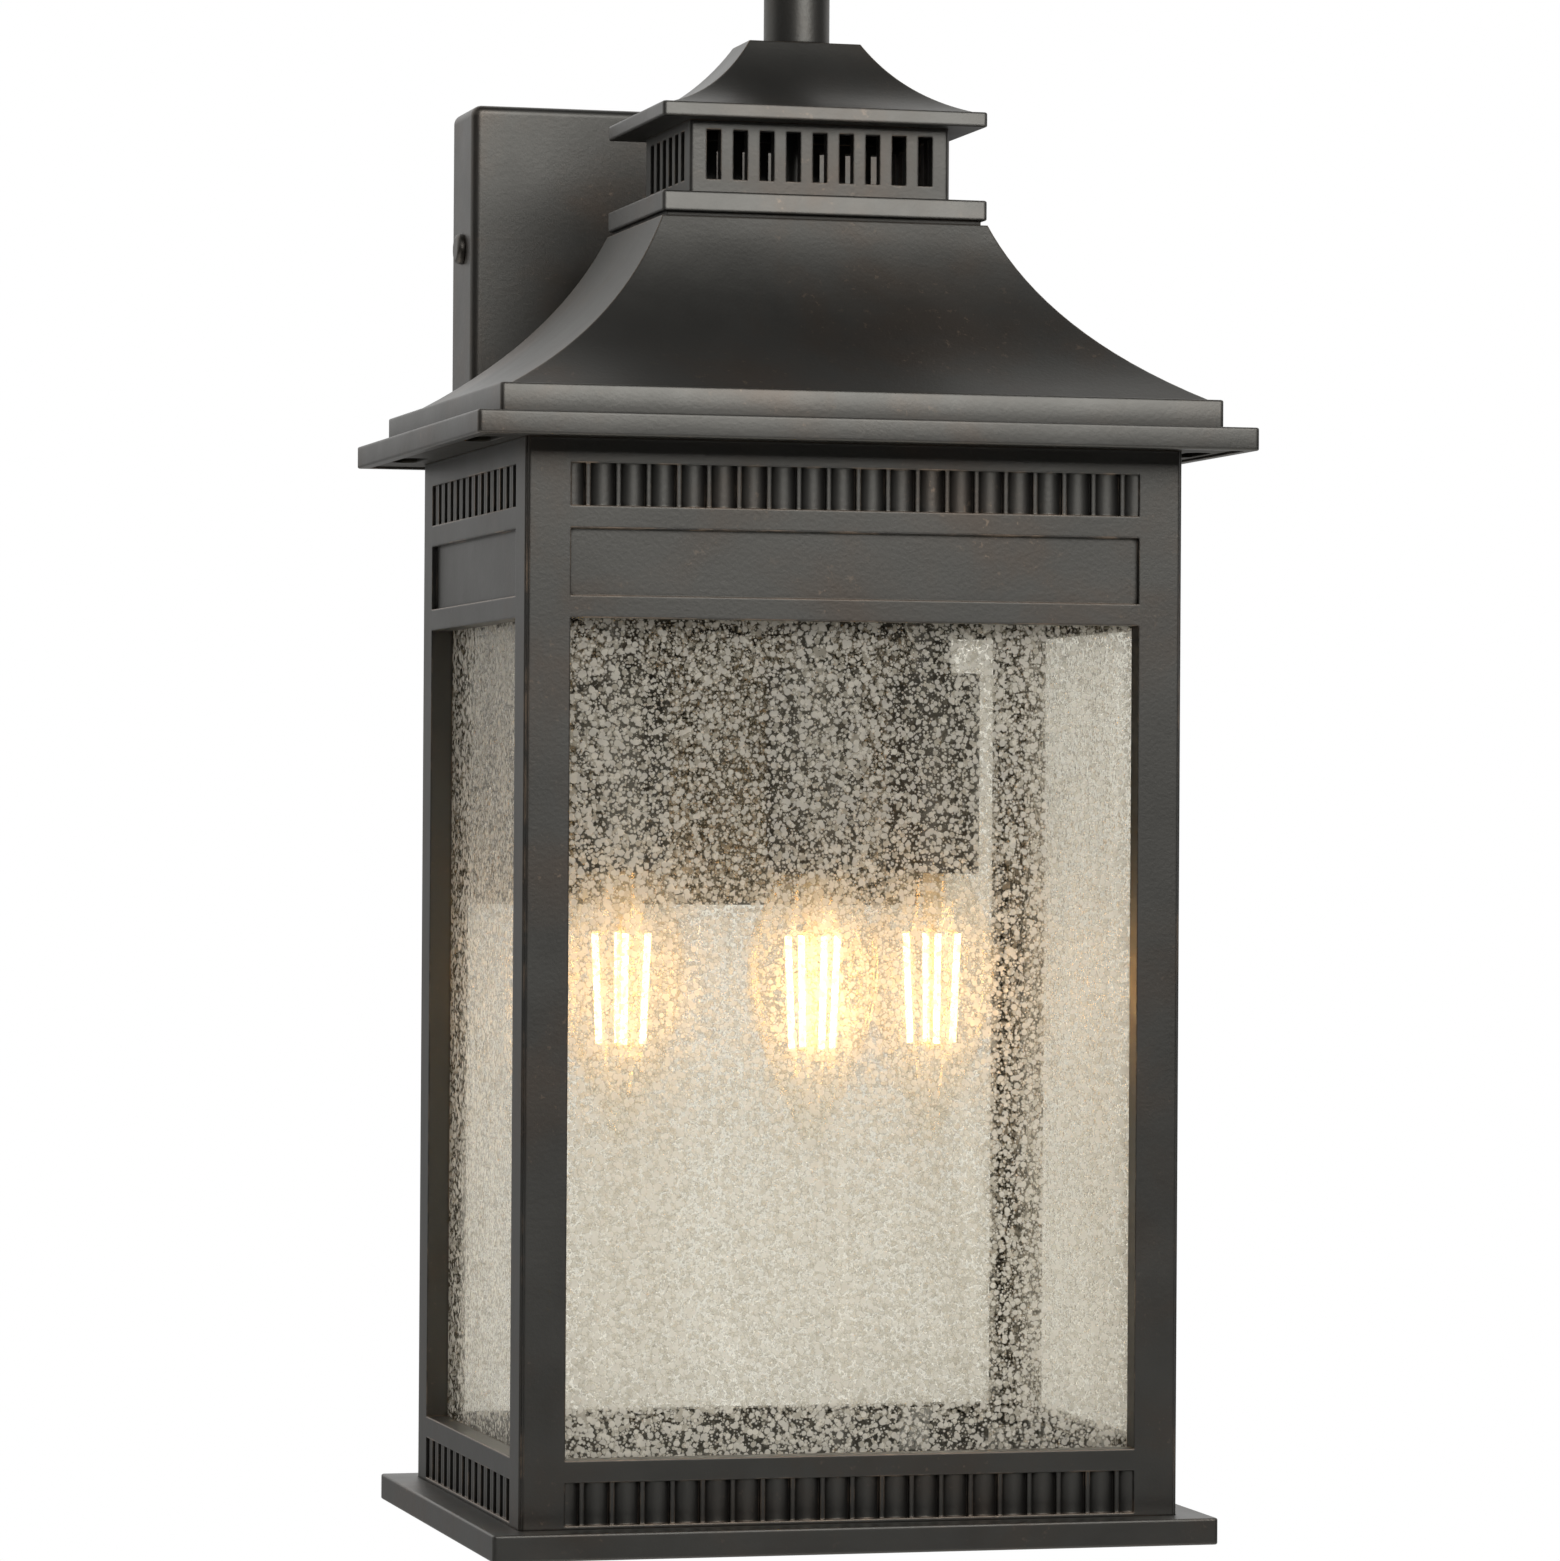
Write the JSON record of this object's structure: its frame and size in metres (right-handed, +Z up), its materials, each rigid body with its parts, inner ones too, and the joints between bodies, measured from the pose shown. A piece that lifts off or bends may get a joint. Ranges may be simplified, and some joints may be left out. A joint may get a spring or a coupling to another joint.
{
  "type": "outdoor wall light",
  "caption": "Boxy wall lantern with seeded glass panes, reeded friezes, a stepped hipped roof with a slotted cupola, candle bulbs and a plain rectangular backplate.",
  "frame": {"origin": "centre of the bracket's face on the wall", "axes": "+Y into the wall, so the lantern hangs out towards -Y; +Z up; +X to the right as seen from in front of the lantern"},
  "size_m": [0.21, 0.1995, 0.4478],
  "materials": {
    "dark_bronze": "satin",
    "inner_sheet": "matte",
    "seeded_glass": "gloss",
    "candle_sleeve": "satin",
    "socket_body": "matte",
    "plated_steel": "satin",
    "green_screw": "satin",
    "bulb_base": "satin",
    "bulb_glass": "gloss",
    "bulb_stem": "gloss",
    "filament": "matte"
  },
  "bodies": {
    "lantern": {"front_frame": "dark_bronze", "right_frame": "dark_bronze", "rear_frame": "dark_bronze", "left_frame": "dark_bronze", "base_ring": "dark_bronze", "roof_shell": "dark_bronze", "roof_collar": "dark_bronze", "cupola": "dark_bronze", "cupola_roof": "dark_bronze", "stem": "dark_bronze", "wall_arm": "dark_bronze", "backplate": "dark_bronze", "side_screws": "dark_bronze", "socket_nipples": "dark_bronze", "clamp_rod": "dark_bronze", "soffit_plate": "inner_sheet", "front_glass": "seeded_glass", "right_glass": "seeded_glass", "rear_glass": "seeded_glass", "left_glass": "seeded_glass", "left_sleeve": "candle_sleeve", "front_sleeve": "candle_sleeve", "right_sleeve": "candle_sleeve", "left_socket": "socket_body", "front_socket": "socket_body", "right_socket": "socket_body", "glass_clips": "plated_steel", "clip_screws": "plated_steel", "corner_blocks": "plated_steel", "frame_screws": "plated_steel", "base_screws": "plated_steel", "soffit_screws": "plated_steel", "rod_nuts": "plated_steel", "nipple_nuts": "plated_steel", "arm_bolts": "plated_steel", "arm_nuts": "plated_steel", "mounting_bracket": "plated_steel", "ground_screw": "green_screw"},
    "left_bulb": {"left_bulb_glass": "bulb_glass", "left_bulb_base": "bulb_base", "left_bulb_stem": "bulb_stem", "left_filaments": "filament"},
    "front_bulb": {"front_bulb_glass": "bulb_glass", "front_bulb_base": "bulb_base", "front_bulb_stem": "bulb_stem", "front_filaments": "filament"},
    "right_bulb": {"right_bulb_glass": "bulb_glass", "right_bulb_base": "bulb_base", "right_bulb_stem": "bulb_stem", "right_filaments": "filament"},
    "finial": {"finial": "dark_bronze"}
  },
  "joints": [
    {"name": "left_bulb_turn", "type": "hinge", "parent": "lantern", "child": "left_bulb", "pos_m": [-0.044, -0.103, -0.101], "axis": [0, 0, -1], "range_deg": [0, 1080]},
    {"name": "front_bulb_turn", "type": "hinge", "parent": "lantern", "child": "front_bulb", "pos_m": [0, -0.14, -0.101], "axis": [0, 0, -1], "range_deg": [0, 1080]},
    {"name": "right_bulb_turn", "type": "hinge", "parent": "lantern", "child": "right_bulb", "pos_m": [0.044, -0.103, -0.101], "axis": [0, 0, -1], "range_deg": [0, 1080]},
    {"name": "finial_turn", "type": "hinge", "parent": "lantern", "child": "finial", "pos_m": [0, -0.117, 0.146], "axis": [0, 0, 1], "range_deg": [0, 1080]}
  ]
}
